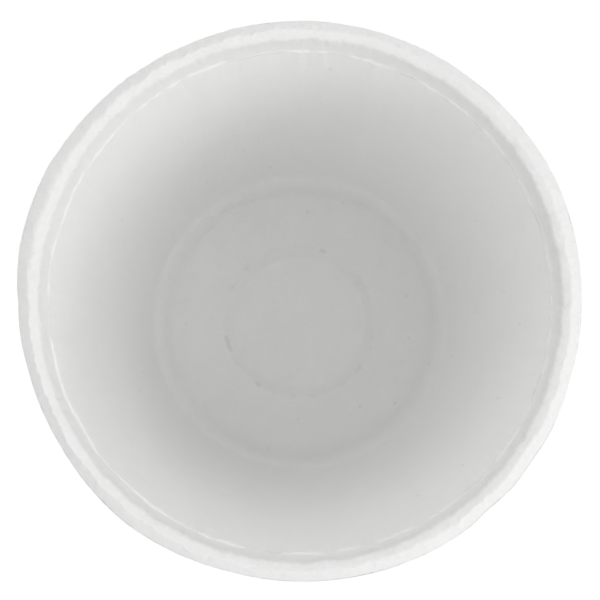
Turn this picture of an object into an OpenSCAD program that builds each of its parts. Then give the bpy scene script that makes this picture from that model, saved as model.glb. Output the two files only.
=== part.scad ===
// Coffee cup of moulded sugarcane fibre, pressed in one piece from a sheet of pulp.
// The cup stands on the plane z = 0 and its axis is Z. All sizes are in millimetres.

/* [Cup] */
// Height from the standing face to the top of the rim
cup_h = 90; // [60:0.5:130]
// Diameter over the rim, which a lid fits
rim_d = 80; // [72:0.5:100]
// Inside diameter of the floor, measured where its plane meets the wall's cone
floor_d = 51.4; // [40:0.2:62]
// Thickness of the pressed sheet
wall_t = 0.75; // [0.5:0.05:1.2]
// Radius of the inside bend between the floor and the wall
floor_bend = 3.4; // [1:0.1:6]

/* [Rim] */
// Width of the turned-over rim, from its inner edge to its outside
rim_w = 3.2; // [2.6:0.1:5]
// Height of the rim's turned-down edge, from the top to where it is trimmed
rim_drop = 2.8; // [2.3:0.1:4]
// Distance of the rim's top line from its outside
ridge_in = 1.8; // [1.2:0.1:2]
// Radius of the bend along the rim's top line
ridge_bend = 0.6; // [0.3:0.1:1.2]
// Slope of the rim's top from the top line inwards, in degrees from level
slope_in = 25; // [10:1:40]
// Slope of the rim's top from the top line outwards, in degrees from level
slope_out = 38; // [20:1:42]
// Radius of the bend at the rim's inner edge
edge_bend_in = 0.75; // [0.1:0.05:0.9]
// Radius of the bend at the rim's outside
edge_bend_out = 0.6; // [0.3:0.1:0.9]

/* [Collar and ledge] */
// Depth of the ledge below the top of the rim
ledge_drop = 6.5; // [4:0.1:12]
// Width of the ledge, on which the next cup of a stack sits
ledge_w = 0.28; // [0.2:0.02:1.4]
// Radius of the ledge's two bends
ledge_bend = 0.3; // [0.1:0.05:0.6]
// Lean of the collar above the ledge, in degrees from upright
collar_lean = 6.6; // [4:0.2:14]

/* [Raised disc in the floor] */
// Diameter of the disc at its foot
disc_d = 26.8; // [14:0.2:36]
// Height of the disc above the floor
disc_h = 0.8; // [0.3:0.1:2.5]
// Width of the slope round the disc, seen from above
disc_slope_w = 1.9; // [1:0.1:5]
// Radius of the bends at the top and the foot of the slope
disc_bend = 1.8; // [0.8:0.1:5]

/* [Hidden] */

// Facets of a full turn about the axis
$fn = 96;
// Most of a straight stretch that the bends at its two ends may take up together
bend_share = 0.98;
// Least radius of a bend in the outer skin, which then has a single step
least_bend = 0.25;

rim_r = rim_d / 2;
disc_foot_r = disc_d / 2;

// Where the two slopes of the rim's top would meet without their bend, beyond the top line
ridge_over = ridge_bend / cos((slope_out + slope_in) / 2) - ridge_bend;
ridge_r = rim_r - ridge_in + ridge_over * sin((slope_out - slope_in) / 2);
ridge_z = cup_h + ridge_over * cos((slope_out - slope_in) / 2);

crown_r = rim_r - rim_w;
crown_z = ridge_z - (ridge_r - crown_r) * tan(slope_in);
side_z = ridge_z - (rim_r - ridge_r) * tan(slope_out);
ledge_z = cup_h - ledge_drop;
collar_foot_r = crown_r - (crown_z - ledge_z) * tan(collar_lean);

// Corners of the inner skin before they are bent, each with the radius of its bend and the number of
// straight steps that stand for it: from the middle of the floor out to the wall, up to the ledge and
// the collar, then over the rim and down its edge
inner_corners = [
    [[0, wall_t + disc_h], 0, 0],
    [[disc_foot_r - disc_slope_w, wall_t + disc_h], disc_bend, 1],
    [[disc_foot_r, wall_t], disc_bend, 1],
    [[floor_d / 2, wall_t], floor_bend, 3],
    [[collar_foot_r - ledge_w, ledge_z], ledge_bend, 1],
    [[collar_foot_r, ledge_z], ledge_bend, 1],
    [[crown_r, crown_z], edge_bend_in, 2],
    [[ridge_r, ridge_z], ridge_bend, 2],
    [[rim_r, side_z], edge_bend_out, 2],
    [[rim_r, cup_h - rim_drop], 0, 0],
];

function unit(v) = v / norm(v);

// Direction of the straight stretch that leaves corner i, or of the last one
function heading(corners, i) =
    let (k = min(max(i, 0), len(corners) - 2))
    unit(corners[k + 1][0] - corners[k][0]);

// Right-hand side of a direction, which is the outside of the cup on the path above
function right_of(v) = [v[1], -v[0]];

// Degrees by which the path turns to the left at corner i
function turn(corners, i) =
    let (u = heading(corners, i - 1), v = heading(corners, i))
    atan2(u[0] * v[1] - u[1] * v[0], u * v);

// The same corner on a skin that lies t to the right, with a bend about the same centre
function moved(corners, i, t) =
    let (
        a = right_of(heading(corners, i - 1)),
        b = right_of(heading(corners, i)),
        r = max(corners[i][1] + t * sign(turn(corners, i)), least_bend)
    )
    [corners[i][0] + t * (a + b) / (1 + a * b), r, r > least_bend ? corners[i][2] : 1];

// Length that the bend at corner i would take from each straight stretch beside it
function reach(corners, i) =
    i == 0 || i == len(corners) - 1 ? 0 : corners[i][1] * tan(abs(turn(corners, i)) / 2);

// Factor that fits the two bends of the stretch after corner i into its length
function fit(corners, i) =
    let (
        length = norm(corners[i + 1][0] - corners[i][0]),
        wanted = reach(corners, i) + reach(corners, i + 1)
    )
    wanted > bend_share * length ? bend_share * length / wanted : 1;

// Points of the bend at corner i
function bend(corners, i) =
    let (
        u = heading(corners, i - 1),
        v = heading(corners, i),
        angle = turn(corners, i),
        r = corners[i][1] * min(fit(corners, i - 1), fit(corners, i)),
        centre = corners[i][0] + unit(v - u) * r / cos(angle / 2),
        start = sign(angle) * right_of(u),
        start_angle = atan2(start[1], start[0]),
        steps = corners[i][2]
    )
    [
        for (k = [0 : steps])
            let (a = start_angle + angle * k / steps)
            centre + r * [cos(a), sin(a)]
    ];

// A whole skin, from its first corner to its last
function skin(corners) =
    let (last = len(corners) - 1)
    [
        corners[0][0],
        for (i = [1 : last - 1]) each bend(corners, i),
        corners[last][0],
    ];

function reversed(list) = [for (i = [len(list) - 1 : -1 : 0]) list[i]];

// The sheet cut through the axis: the inner skin, then the outer skin back to the axis
module sheet_section() {
    outer_corners = [for (i = [0 : len(inner_corners) - 1]) moved(inner_corners, i, wall_t)];
    polygon(concat(skin(inner_corners), reversed(skin(outer_corners))));
}

module cup() {
    color("whitesmoke")
        rotate_extrude()
            sheet_section();
}

cup();
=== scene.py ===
"""Looks of a coffee cup of moulded sugarcane fibre, made round its solid. Lengths are in metres."""

import cmath
import math

import bpy
import numpy as np
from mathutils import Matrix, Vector, noise


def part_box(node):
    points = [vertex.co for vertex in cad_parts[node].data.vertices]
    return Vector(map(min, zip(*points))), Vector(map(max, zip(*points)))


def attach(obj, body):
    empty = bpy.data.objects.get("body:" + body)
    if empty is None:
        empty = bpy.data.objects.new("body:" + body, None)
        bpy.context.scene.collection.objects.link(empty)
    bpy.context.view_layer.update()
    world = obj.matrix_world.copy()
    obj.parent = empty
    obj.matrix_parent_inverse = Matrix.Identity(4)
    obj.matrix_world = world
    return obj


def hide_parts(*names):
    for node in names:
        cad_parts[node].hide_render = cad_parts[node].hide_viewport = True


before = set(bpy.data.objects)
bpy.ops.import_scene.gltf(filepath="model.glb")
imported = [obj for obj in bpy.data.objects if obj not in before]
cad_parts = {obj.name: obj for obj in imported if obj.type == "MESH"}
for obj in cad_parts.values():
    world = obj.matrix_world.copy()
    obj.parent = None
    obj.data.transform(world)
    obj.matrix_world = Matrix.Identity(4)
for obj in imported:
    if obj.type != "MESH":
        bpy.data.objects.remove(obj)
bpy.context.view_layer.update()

MM = 0.001

# Section of the pressed sheet, with the names that the solid's source gives its sizes
node_low, node_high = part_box("cup")
CUP_H = node_high.z
RIM_R = node_high.x
WALL_T = 0.75 * MM
FLOOR_R = 25.7 * MM
FLOOR_BEND = 3.4 * MM
LEAST_BEND = 0.25 * MM
RIM_W = 3.2 * MM
RIM_DROP = 2.8 * MM
RIDGE_IN = 1.8 * MM
RIDGE_BEND = 0.6 * MM
SLOPE_IN = math.radians(25)
SLOPE_OUT = math.radians(38)
EDGE_BEND_IN = 0.75 * MM
EDGE_BEND_OUT = 0.6 * MM
LEDGE_DROP = 6.5 * MM
LEDGE_W = 0.28 * MM
LEDGE_BEND = 0.3 * MM
COLLAR_LEAN = math.radians(6.6)
DISC_R = 13.4 * MM
DISC_H = 0.8 * MM
DISC_SLOPE_W = 1.9 * MM
DISC_BEND = 1.8 * MM
# Rounding of the trimmed edge, which is sharp in the solid
CUT_BEND = 0.14 * MM
# Most of a straight stretch that the bends at its two ends may take up together
BEND_SHARE = 0.98

# Corners of the section, in the order in which sheet_corners lists them. A place on the section is a
# number too: the bend at corner i runs from i to i + 0.5, and the straight stretch after it to i + 1.
DISC_TOP, DISC_FOOT, FLOOR, LEDGE, LEDGE_FOOT, CROWN, RIDGE, SIDE, CUT = range(1, 10)
BEND_MIDDLE = 0.25
LEDGE_MIDDLE = LEDGE_FOOT - 0.25

# Millimetres between the mesh's rows on the straight stretch before each corner: first on the inner
# skin, then on the trimmed edge, the hidden side of the rim and the outer skin
ROWS = [3, 1, 2, 3, 1, 0.8, 0.4, 0.4, 0.4] + [0.3] + [2, 2, 2, 2, 2] + [4, 3, 1, 4]
# Most that one step of a bend turns, and the same for a bend of small radius
BEND_STEP = math.radians(11)
SMALL_BEND = 0.7 * MM
SMALL_BEND_STEP = math.radians(20)
# Sides of a full turn, and how many more there are from just before the ledge to past the trimmed edge
COARSE_SIDES = 330
FINE_PER_COARSE = 3
FINE_FROM = LEDGE - 0.04
FINE_TO = CUT + 1.6

# Reach of the turned-over rim beyond or short of a true circle: degrees from +X, then millimetres
RIM_REACH = [
    (0, 0), (20, 0.2), (50, -0.1), (110, -0.15), (135, 0.2), (145, 0.4), (148, 0.6), (165, 0.55),
    (172, 0.3), (177, 0), (184, 0), (190, -0.2), (208, -0.3), (228, 0.05), (252, -0.35), (275, -0.15),
    (296, 0.1), (304, 0.1), (308, -0.2), (315, 0.1), (322, -0.05), (330, 0.1), (340, -0.1), (350, 0),
]

# Unevenness of the pulp: a seed, then the depth and wavelength of each of its waves
RELIEF = (23, [(0.06 * MM, 10 * MM)])
RIM_RELIEF = (41, [(0.16 * MM, 3 * MM), (0.1 * MM, 1.2 * MM)])
EDGE_RELIEF = (67, [(0.08 * MM, 2.4 * MM), (0.14 * MM, 0.9 * MM)])
CROWN_RELIEF = (83, [(0.24 * MM, 3 * MM), (0.18 * MM, 0.9 * MM)])
RIDGE_RELIEF = (97, [(0.34 * MM, 3.3 * MM), (0.26 * MM, 1 * MM)])
LEDGE_SHIFT = (53, [(0.16 * MM, 5 * MM), (0.14 * MM, 1.3 * MM)])
LEDGE_RELIEF = (5, [(0.1 * MM, 7 * MM), (0.1 * MM, 1.7 * MM)])
DISC_SHIFT = (31, [(0.35 * MM, 9 * MM), (0.2 * MM, 2.5 * MM)])
RIM_DIP = (11, [(0.1 * MM, 30 * MM)])
# Step in the noise from one wave of a relief to its next
WAVE_STEP = (7.3, 3.1, 5.7)

# Places between which the rim's reach and the reliefs set in, and the disc's tilt ends
REACH_SETS_IN = (RIDGE, SIDE)
RIM_SETS_IN = (CROWN - 0.3, CROWN + 0.2)
EDGE_SETS_IN = (RIDGE + 0.2, SIDE)
DISC_SETS_IN = (DISC_TOP - 0.1, DISC_TOP + 0.2)
TILT_ENDS = (DISC_TOP + 0.4, DISC_FOOT + 0.1)
# Distances along the section, counted in places, over which a relief fades away from a bend's middle
# and from the ledge's middle
BEND_FADE = (0.26, 0.7)
LEDGE_FADE = (0.75, 1.05)

# How much higher than the middle the disc is at its foot, and towards which side from +X
DISC_TILT = 0.2 * MM
DISC_TILT_SIDE = math.radians(-65)


def sheet_corners():
    """Corners of the inner skin as (radius + height j, radius of the bend), before they are bent."""
    ridge_over = RIDGE_BEND / math.cos((SLOPE_OUT + SLOPE_IN) / 2) - RIDGE_BEND
    ridge_lean = (math.pi - SLOPE_OUT + SLOPE_IN) / 2
    ridge = complex(RIM_R - RIDGE_IN, CUP_H) + cmath.rect(ridge_over, ridge_lean)
    crown_r = RIM_R - RIM_W
    crown_z = ridge.imag - (ridge.real - crown_r) * math.tan(SLOPE_IN)
    side_z = ridge.imag - (RIM_R - ridge.real) * math.tan(SLOPE_OUT)
    ledge_z = CUP_H - LEDGE_DROP
    collar_foot_r = crown_r - (crown_z - ledge_z) * math.tan(COLLAR_LEAN)
    return [
        (complex(0, WALL_T + DISC_H), 0),
        (complex(DISC_R - DISC_SLOPE_W, WALL_T + DISC_H), DISC_BEND),
        (complex(DISC_R, WALL_T), DISC_BEND),
        (complex(FLOOR_R, WALL_T), FLOOR_BEND),
        (complex(collar_foot_r - LEDGE_W, ledge_z), LEDGE_BEND),
        (complex(collar_foot_r, ledge_z), LEDGE_BEND),
        (complex(crown_r, crown_z), EDGE_BEND_IN),
        (ridge, RIDGE_BEND),
        (complex(RIM_R, side_z), EDGE_BEND_OUT),
        (complex(RIM_R, CUP_H - RIM_DROP), CUT_BEND),
    ]


def unit(z):
    return z / abs(z)


def outer_skin(corners):
    """The same corners moved out by the sheet's thickness, with bends about the same centres."""
    last = len(corners) - 1
    moved = []
    for i, (p, bend) in enumerate(corners):
        before = unit(p - corners[i - 1][0]) if i else unit(corners[1][0] - p)
        after = unit(corners[i + 1][0] - p) if i < last else before
        a, b = -1j * before, -1j * after
        shift = WALL_T * (a + b) / (1 + (a * b.conjugate()).real)
        if 0 < i < last:
            bend = max(bend + math.copysign(WALL_T, cmath.phase(after / before)), LEAST_BEND)
        moved.append((p + shift, bend))
    return moved


def fit(length, wanted):
    """Factor that fits the two bends of a straight stretch, which want some of it, into its length."""
    return min(1, BEND_SHARE * length / wanted)


def bent_path(corners):
    """Points of the path with its corners bent, each as (point, place)."""
    points, bends = zip(*corners)
    inner = range(1, len(corners) - 1)
    turns = [0.0] * len(corners)
    for i in inner:
        turns[i] = cmath.phase((points[i + 1] - points[i]) / (points[i] - points[i - 1]))
    reach = [bend * math.tan(abs(turn) / 2) for bend, turn in zip(bends, turns)]
    lengths = [abs(b - a) for a, b in zip(points, points[1:])]
    fits = [fit(length, reach[i] + reach[i + 1]) for i, length in enumerate(lengths)]
    path = [(points[0], 0.5)]
    for i in inner:
        u, v = unit(points[i] - points[i - 1]), unit(points[i + 1] - points[i])
        r = bends[i] * min(fits[i - 1], fits[i])
        centre = points[i] + unit(v - u) * r / math.cos(turns[i] / 2)
        start = -1j * math.copysign(1, turns[i]) * u * r
        step = SMALL_BEND_STEP if r < SMALL_BEND else BEND_STEP
        steps = math.ceil(abs(turns[i]) / step)
        add_straight(path, centre + start, i)
        for k in range(1, steps + 1):
            path.append((centre + start * cmath.exp(1j * turns[i] * k / steps), i + 0.5 * k / steps))
    add_straight(path, points[-1], len(corners) - 1)
    return path


def add_straight(path, end, corner):
    """Adds the straight stretch that ends at a corner, in rows as far apart as ROWS says."""
    start, place = path[-1]
    steps = math.ceil(abs(end - start) / (ROWS[corner - 1] * MM))
    for k in range(1, steps + 1):
        path.append((start + (end - start) * k / steps, place + (corner - place) * k / steps))


def section_rows():
    """Rows of the section: (radius, height, outward direction, place, whether it is fine). A point of
    the outer skin has the place of the point of the inner skin across the sheet from it."""
    inner = sheet_corners()
    corners = inner + outer_skin(inner)[::-1]
    path = bent_path(corners)
    last = len(corners) - 0.5
    rows = []
    for i, (p, place) in enumerate(path):
        along = unit(path[min(i + 1, len(path) - 1)][0] - path[max(i - 1, 0)][0])
        fine = FINE_FROM < place < FINE_TO
        rows.append((p.real, p.imag, 1j * along, min(place, last - place), fine))
    return rows


def ramp(x, start, end):
    """0 before start, 1 after end, and smooth between them."""
    t = min(max((x - start) / (end - start), 0), 1)
    return t * t * (3 - 2 * t)


def round_bend(place, corner):
    """1 on the bend at a corner of the section, and fading out on both sides of it."""
    return 1 - ramp(abs(place - corner - BEND_MIDDLE), *BEND_FADE)


def rim_reach():
    """Reach of the rim at each whole degree, in metres, with its corners slightly rounded."""
    angles, reach = zip(*RIM_REACH)
    every = np.interp(np.arange(360), angles, np.array(reach) * MM, period=360)
    return (np.roll(every, 1) + 2 * every + np.roll(every, -1)) / 4


def reach_at(reach, angle):
    degrees = math.degrees(angle) % 360
    before = int(degrees) % 360
    part = degrees - int(degrees)
    return (1 - part) * reach[before] + part * reach[(before + 1) % 360]


def waviness(point, relief):
    """Unevenness that lies to both sides of the true surface."""
    seed, waves = relief
    total = 0
    for k, (most, wavelength) in enumerate(waves):
        offset = Vector((seed + WAVE_STEP[0] * k, WAVE_STEP[1] * k, WAVE_STEP[2] * k))
        total += most * noise.noise(point / wavelength + offset)
    return total


def unevenness(point, relief):
    """Depth by which the surface lies below its true form, never above it."""
    return (waviness(point, relief) + sum(most for most, _ in relief[1])) / 2


def shift_across(place, turned):
    """How far the lines of the rim, the ledge and the disc's foot wander from their circles."""
    on_rim = turned * RIM_R
    across = round_bend(place, CROWN) * waviness(on_rim, CROWN_RELIEF)
    across += round_bend(place, RIDGE) * waviness(on_rim, RIDGE_RELIEF)
    ledge = 1 - ramp(abs(place - LEDGE_MIDDLE), *LEDGE_FADE)
    if ledge:
        side = 1 if place > LEDGE_MIDDLE else -1
        across += ledge * (waviness(on_rim, LEDGE_SHIFT) + side * waviness(on_rim, LEDGE_RELIEF))
    if on_disc(place):
        foot = ramp(place, *DISC_SETS_IN) * round_bend(place, DISC_FOOT)
        across += foot * waviness(turned * DISC_R, DISC_SHIFT)
    return across


def on_disc(place):
    """Whether a place is on the disc, or on the floor near its foot."""
    return place < FLOOR - 0.5


def formed_point(r, z, out, place, angle, reach):
    """A point of the real cup: its section turned to an angle, with the rim's reach and dip, and the
    unevenness of the pulp."""
    turned = Vector((math.cos(angle), math.sin(angle), 0))
    r += ramp(place, *REACH_SETS_IN) * reach_at(reach, angle)
    point = turned * r + Vector((0, 0, z))
    depth = unevenness(point, RELIEF)
    rim = ramp(place, *RIM_SETS_IN)
    if rim:
        point.z -= rim * unevenness(turned * RIM_R, RIM_DIP)
        depth += rim * unevenness(point, RIM_RELIEF)
        depth += ramp(place, *EDGE_SETS_IN) * unevenness(point, EDGE_RELIEF)
    if on_disc(place):
        tilt = DISC_TILT * min(r / DISC_R, 1) * math.cos(angle - DISC_TILT_SIDE)
        point.z += tilt * (1 - ramp(place, *TILT_ENDS))
    point += turned * shift_across(place, turned)
    return point - depth * (turned * out.real + Vector((0, 0, out.imag)))


def cup_mesh():
    """The whole cup as one closed mesh, finer round the rim than on the wall and the floor."""
    reach = rim_reach()
    verts, rings = [], []
    for r, z, out, place, fine in section_rows():
        sides = COARSE_SIDES * (FINE_PER_COARSE if fine else 1)
        if not r:
            sides = 1
        rings.append(range(len(verts), len(verts) + sides))
        for k in range(sides):
            verts.append(formed_point(r, z, out, place, 2 * math.pi * k / sides, reach))
    faces = []
    for a, b in zip(rings, rings[1:]):
        faces += band(a, b)
    mesh = bpy.data.meshes.new("pressed_cup")
    mesh.from_pydata(verts, [], faces)
    mesh.shade_smooth()
    return mesh


def band(a, b):
    """Faces between two rings, whose numbers of sides may differ by a whole factor."""
    if len(a) > len(b):
        return [face[::-1] for face in band(b, a)]
    n, m = len(a), len(b)
    if n == 1:
        return [(a[0], b[k], b[(k + 1) % m]) for k in range(m)]
    per = m // n
    faces = []
    for k in range(n):
        far = [b[(per * k + j) % m] for j in range(per + 1)]
        faces.append((a[(k + 1) % n], a[k], *far))
    return faces


# Material of the pulp

PULP_DARKER = (0.88, 0.88, 0.877, 1)
PULP_LIGHTER = (0.92, 0.92, 0.917, 1)
FIBRE_TONE = (0.94, 0.94, 0.937, 1)
# Dark tone of the flecks, also used for the painted shade at the disc's foot
FLECK_AND_SHADE_TONE = (0.35, 0.34, 0.31, 1)
THROUGH_TONE = (0.98, 0.98, 0.975, 1)
ROUGHNESS = 0.78
ROUGHNESS_SPREAD = 0.15
SPECULAR = 0.35

# Scales of the patterns, which are about their cells to a metre
CLOUDS_SCALE = 260
FLECKS_SCALE = 300
# Scale of the patches of painted shade at the disc's foot
FOOT_SHADE_SCALE = 330
CRUMBS_SCALE = 1400
FIBRES_SCALE = 2400
GRAIN_SCALE = 2600

# How strongly each pattern tints the tone, and how far it stands up
FIBRES_TINT = 0.3
FLECKS_TINT = 0.25
# Strength of the painted shade at the disc's foot
FOOT_SHADE_TINT = 0.14
FIBRES_UP = 0.015 * MM
GRAIN_UP = 0.05 * MM
FLECKS_UP = 0.04 * MM
CRUMBS_UP = 0.12 * MM
# Heights between which the rim's crumbs set in
CRUMBS_SET_IN = (CUP_H - 3.5 * MM, CUP_H - 2 * MM)

# Directions of the fibres, as their tilt from Z and their turn about it, in degrees, and how much
# longer than wide they are. A fibre is where the noise lies this near to its middle value.
FIBRE_AXES = [(0, 0), (90, 20), (35, 110), (70, 150)]
FIBRE_STRETCH = 9
FIBRE_STEP = (0.37, 0.11, 0.23)
FIBRE_NEAR = 0.11

# Flecks: how their cells are squeezed along Z, their outside and core as shares of a cell, and the
# chances from which they show at all and in full
FLECK_SQUEEZE = (1, 1, 0.2)
FLECK_SIZE = (0.085, 0.03)
FLECK_CHANCE = (0.25, 0.9)

# Painted shade in patches along the disc's foot: the circle that it lies on, its half widths outside
# and at the core, and
#  the noise between which it sets in
FOOT_SHADE_R = DISC_R - 0.1 * MM
FOOT_SHADE_HALF_W = (0.5 * MM, 0.15 * MM)
FOOT_SHADE_SET_IN = (0.53, 0.62)

# Share of the light that passes through the sheet, where it stands clear of the table, and the radii
# between which it sets in
LIGHT_THROUGH = 0.3
SHADED_TO_R = 22.4 * MM
CLEAR_FROM_R = 25.2 * MM

# Sockets of the Mix node when it mixes colours
MIX_FACTOR, MIX_A, MIX_B = 0, 6, 7
MIX_RESULT = 2


class Nodes:
    """Short calls that add nodes to a node tree and link them."""

    def __init__(self, tree):
        tree.nodes.clear()
        self.tree = tree

    def put(self, socket, value):
        if isinstance(value, bpy.types.NodeSocket):
            self.tree.links.new(value, socket)
        else:
            socket.default_value = value

    def add(self, kind, **inputs):
        node = self.tree.nodes.new(kind)
        for name, value in inputs.items():
            self.put(node.inputs[name.replace("_", " ")], value)
        return node

    def math(self, operation, a, b=0.0):
        node = self.add("ShaderNodeMath")
        node.operation = operation
        self.put(node.inputs[0], a)
        self.put(node.inputs[1], b)
        return node.outputs[0]

    def vector(self, operation, a, b=(0, 0, 0)):
        node = self.add("ShaderNodeVectorMath")
        node.operation = operation
        self.put(node.inputs[0], a)
        self.put(node.inputs[1], b)
        return node

    def noise(self, vector, scale, detail=2.0, roughness=0.5):
        node = self.add(
            "ShaderNodeTexNoise", Vector=vector, Scale=scale, Detail=detail, Roughness=roughness
        )
        return node.outputs[0]

    def fade(self, value, start, end, most=1.0):
        """0 up to the start, most from the end on, and even between them."""
        node = self.add(
            "ShaderNodeMapRange", Value=value, From_Min=start, From_Max=end, To_Min=0.0, To_Max=most
        )
        return node.outputs[0]

    def mix(self, factor, a, b):
        """Mixes two colours."""
        node = self.add("ShaderNodeMix")
        node.data_type = "RGBA"
        for index, value in ((MIX_FACTOR, factor), (MIX_A, a), (MIX_B, b)):
            self.put(node.inputs[index], value)
        return node.outputs[MIX_RESULT]

    def finish(self, factor, first, second):
        """Mixes two shaders and makes them the surface."""
        mixed = self.add("ShaderNodeMixShader")
        for socket, value in zip(mixed.inputs, (factor, first.outputs[0], second.outputs[0])):
            self.put(socket, value)
        self.add("ShaderNodeOutputMaterial", Surface=mixed.outputs[0])


def fibres(n, coordinates):
    """Fine ridges, each drawn out along a direction of its own, like pressed fibres."""
    total = 0.0
    for k, (tilt, turn) in enumerate(FIBRE_AXES):
        mapping = n.add("ShaderNodeMapping", Vector=coordinates)
        mapping.vector_type = "TEXTURE"
        mapping.inputs["Rotation"].default_value = (0, math.radians(tilt), math.radians(turn))
        mapping.inputs["Scale"].default_value = (1, 1, FIBRE_STRETCH)
        mapping.inputs["Location"].default_value = [step * k for step in FIBRE_STEP]
        value = n.noise(mapping.outputs[0], FIBRES_SCALE, detail=0)
        off_line = n.math("ABSOLUTE", n.math("SUBTRACT", value, 0.5))
        total = n.math("MAXIMUM", total, n.fade(off_line, FIBRE_NEAR, 0.0))
    return total


def flecks(n, coordinates):
    """Small scattered nibs, drawn out up the wall, some stronger than others."""
    drawn_out = n.vector("MULTIPLY", coordinates, FLECK_SQUEEZE).outputs[0]
    cells = n.add("ShaderNodeTexVoronoi", Vector=drawn_out, Scale=FLECKS_SCALE)
    chance = n.add("ShaderNodeSeparateColor", Color=cells.outputs["Color"]).outputs[0]
    spots = n.fade(cells.outputs["Distance"], *FLECK_SIZE)
    return n.math("MULTIPLY", spots, n.fade(chance, *FLECK_CHANCE))


def painted_foot_shade(n, coordinates, from_axis):
    """Painted shade here and there along the foot of the raised disc, where its crease lies in shade.
    """
    off_foot = n.math("ABSOLUTE", n.math("SUBTRACT", from_axis, FOOT_SHADE_R))
    shade_patches = n.fade(n.noise(coordinates, FOOT_SHADE_SCALE, detail=2), *FOOT_SHADE_SET_IN)
    return n.math("MULTIPLY", n.fade(off_foot, *FOOT_SHADE_HALF_W), shade_patches)


def pulp_material():
    """Matte off-white pulp: pressed fibres, a faint cloudiness, a few darker nibs, painted shade along
    the disc's foot and a rough rim.
    """
    material = bpy.data.materials.new("pressed_pulp")
    material.use_nodes = True
    n = Nodes(material.node_tree)
    coordinates = n.add("ShaderNodeTexCoord").outputs["Object"]
    flat = n.vector("MULTIPLY", coordinates, (1, 1, 0)).outputs[0]
    from_axis = n.vector("LENGTH", flat).outputs["Value"]
    height_up = n.add("ShaderNodeSeparateXYZ", Vector=coordinates).outputs["Z"]
    strands = fibres(n, coordinates)
    nibs = flecks(n, coordinates)
    foot_shade = painted_foot_shade(n, coordinates, from_axis)
    grain = n.noise(coordinates, GRAIN_SCALE, detail=1.5, roughness=0.6)
    crumbs = n.noise(coordinates, CRUMBS_SCALE, detail=1, roughness=0.6)

    tone = n.mix(n.noise(coordinates, CLOUDS_SCALE), PULP_DARKER, PULP_LIGHTER)
    tone = n.mix(n.math("MULTIPLY", strands, FIBRES_TINT), tone, FIBRE_TONE)
    tone = n.mix(n.math("MULTIPLY", nibs, FLECKS_TINT), tone, FLECK_AND_SHADE_TONE)
    # Painted shade in patches along the disc's foot
    tone = n.mix(n.math("MULTIPLY", foot_shade, FOOT_SHADE_TINT), tone, FLECK_AND_SHADE_TONE)

    rough_rim = n.fade(height_up, *CRUMBS_SET_IN, most=CRUMBS_UP)
    height = n.math("MULTIPLY", strands, FIBRES_UP)
    for value, most in ((grain, GRAIN_UP), (crumbs, rough_rim), (nibs, FLECKS_UP)):
        height = n.math("ADD", height, n.math("MULTIPLY", value, most))
    bump = n.add("ShaderNodeBump", Height=height, Distance=1.0, Strength=1.0).outputs[0]
    roughness = n.math("ADD", ROUGHNESS, n.math("MULTIPLY", grain, ROUGHNESS_SPREAD))
    pulp = n.add("ShaderNodeBsdfPrincipled", Base_Color=tone, Roughness=roughness, Normal=bump)
    pulp.inputs["Specular IOR Level"].default_value = SPECULAR
    through = n.add("ShaderNodeBsdfTranslucent", Color=THROUGH_TONE, Normal=bump)
    share = n.fade(from_axis, SHADED_TO_R, CLEAR_FROM_R, most=LIGHT_THROUGH)
    n.finish(share, pulp, through)
    return material


# Stage, lamps and camera

WHITE = (1, 1, 1, 1)
FLOOR_TONE = (0.9, 0.9, 0.9, 1)
FLOOR_HALF = 3.0
# Strength of the floor's own white, and its share where the floor is seen directly
FLOOR_WHITE = 1.03
FLOOR_SHOWN = 0.9
WORLD_STRENGTH = 0.75
LAMP_DISTANCE = 1.0
LAMP_SIZE = 0.45
# Direction of each lamp in degrees from +X and above the horizon, then its power in watts
LAMPS = {
    "key": (-10, 50, 1.35),
    "side": (-58, 28, 1.5),
    "low": (-50, 12, 0.25),
    "fill": (90, 40, 0.6),
    "high": (-20, 62, 0.35),
    "top": (0, 90, 0.2),
}

# Camera, placed from where the photograph shows the rim and the floor, in its 600 pixels
FRAME_PX = 600
RIM_PX = 283.2
FOCAL_PX = 2418
FLOOR_SHIFT_PX = (-1.3, -22.2)
TARGET_DROP = 2 * MM
SENSOR_W_MM = 36.0
CLIP = (0.01, 20)


def add_object(name, data):
    added = bpy.data.objects.new(name, data)
    bpy.context.scene.collection.objects.link(added)
    added.rotation_mode = "QUATERNION"
    return added


def seen_directly(n):
    """1 for rays that show the surface itself: straight, in a reflection, or through something."""
    path = n.add("ShaderNodeLightPath")
    total = path.outputs["Is Camera Ray"]
    for name in ("Is Glossy Ray", "Is Transmission Ray"):
        total = n.math("MAXIMUM", total, path.outputs[name])
    return total


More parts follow.
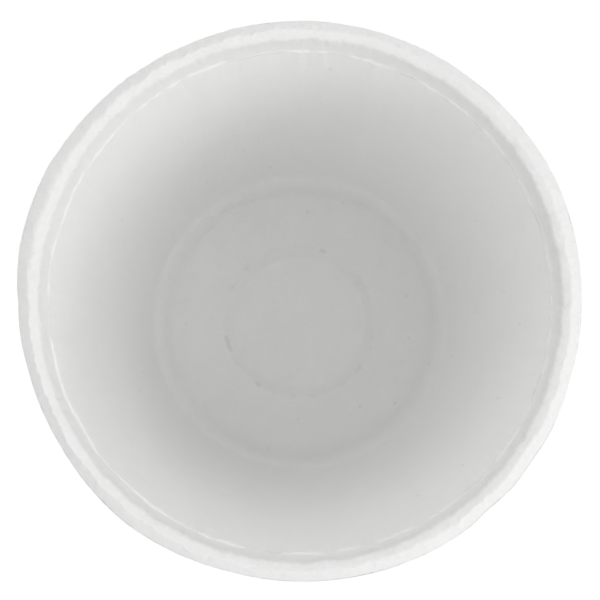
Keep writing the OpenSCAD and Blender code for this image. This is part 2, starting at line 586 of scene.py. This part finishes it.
def stage_floor():
    """A plain pale floor, which shows as white but for the object's shadow."""
    material = bpy.data.materials.new("pale_floor")
    material.use_nodes = True
    material.cycles.emission_sampling = "NONE"
    n = Nodes(material.node_tree)
    diffuse = n.add("ShaderNodeBsdfDiffuse", Color=FLOOR_TONE)
    white = n.add("ShaderNodeEmission", Color=WHITE, Strength=FLOOR_WHITE)
    n.finish(n.math("MULTIPLY", seen_directly(n), FLOOR_SHOWN), diffuse, white)
    mesh = bpy.data.meshes.new("floor")
    corners = [(x * FLOOR_HALF, y * FLOOR_HALF, 0) for x, y in ((-1, -1), (1, -1), (1, 1), (-1, 1))]
    mesh.from_pydata(corners, [], [(0, 1, 2, 3)])
    mesh.materials.append(material)
    add_object("floor", mesh)


def world_light():
    """Even light from all round, which shows as white behind the object."""
    world = bpy.data.worlds.new("studio")
    bpy.context.scene.world = world
    world.use_nodes = True
    n = Nodes(world.node_tree)
    level = n.math("MAXIMUM", seen_directly(n), WORLD_STRENGTH)
    background = n.add("ShaderNodeBackground", Color=WHITE, Strength=level)
    n.add("ShaderNodeOutputWorld", Surface=background.outputs[0])


def area_lamp(name, azimuth, elevation, power):
    """A square soft lamp that faces the cup, at degrees from +X and above the horizon."""
    light = bpy.data.lights.new(name, "AREA")
    light.shape = "SQUARE"
    light.size = LAMP_SIZE
    light.energy = power
    a, e = math.radians(azimuth), math.radians(elevation)
    away = Vector((math.cos(a) * math.cos(e), math.sin(a) * math.cos(e), math.sin(e)))
    lamp = add_object(name, light)
    lamp.location = Vector((0, 0, CUP_H / 2)) + away * LAMP_DISTANCE
    lamp.rotation_quaternion = away.to_track_quat("Z", "Y")


def camera():
    """Looks down on the rim's centre, with the floor's centre a little below it in the picture."""
    target_z = CUP_H - TARGET_DROP
    distance = FOCAL_PX * RIM_R / RIM_PX
    depth = target_z - WALL_T
    scale = FOCAL_PX / (distance + depth)
    lean_x, lean_y = (shift / scale / depth for shift in FLOOR_SHIFT_PX)
    away = Vector((lean_x, lean_y, math.sqrt(1 - lean_x**2 - lean_y**2)))
    data = bpy.data.cameras.new("camera")
    data.sensor_width = SENSOR_W_MM
    data.lens = FOCAL_PX / FRAME_PX * SENSOR_W_MM
    data.clip_start, data.clip_end = CLIP
    holder = add_object("camera", data)
    holder.location = Vector((0, 0, target_z)) + away * distance
    holder.rotation_quaternion = away.to_track_quat("Z", "Y")
    bpy.context.scene.camera = holder


cup = add_object("pressed_cup", cup_mesh())
cup.data.materials.append(pulp_material())
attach(cup, "root")
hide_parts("cup")

stage_floor()
world_light()
for name, placing in LAMPS.items():
    area_lamp(name, *placing)
camera()
bpy.context.scene.view_settings.view_transform = "Standard"
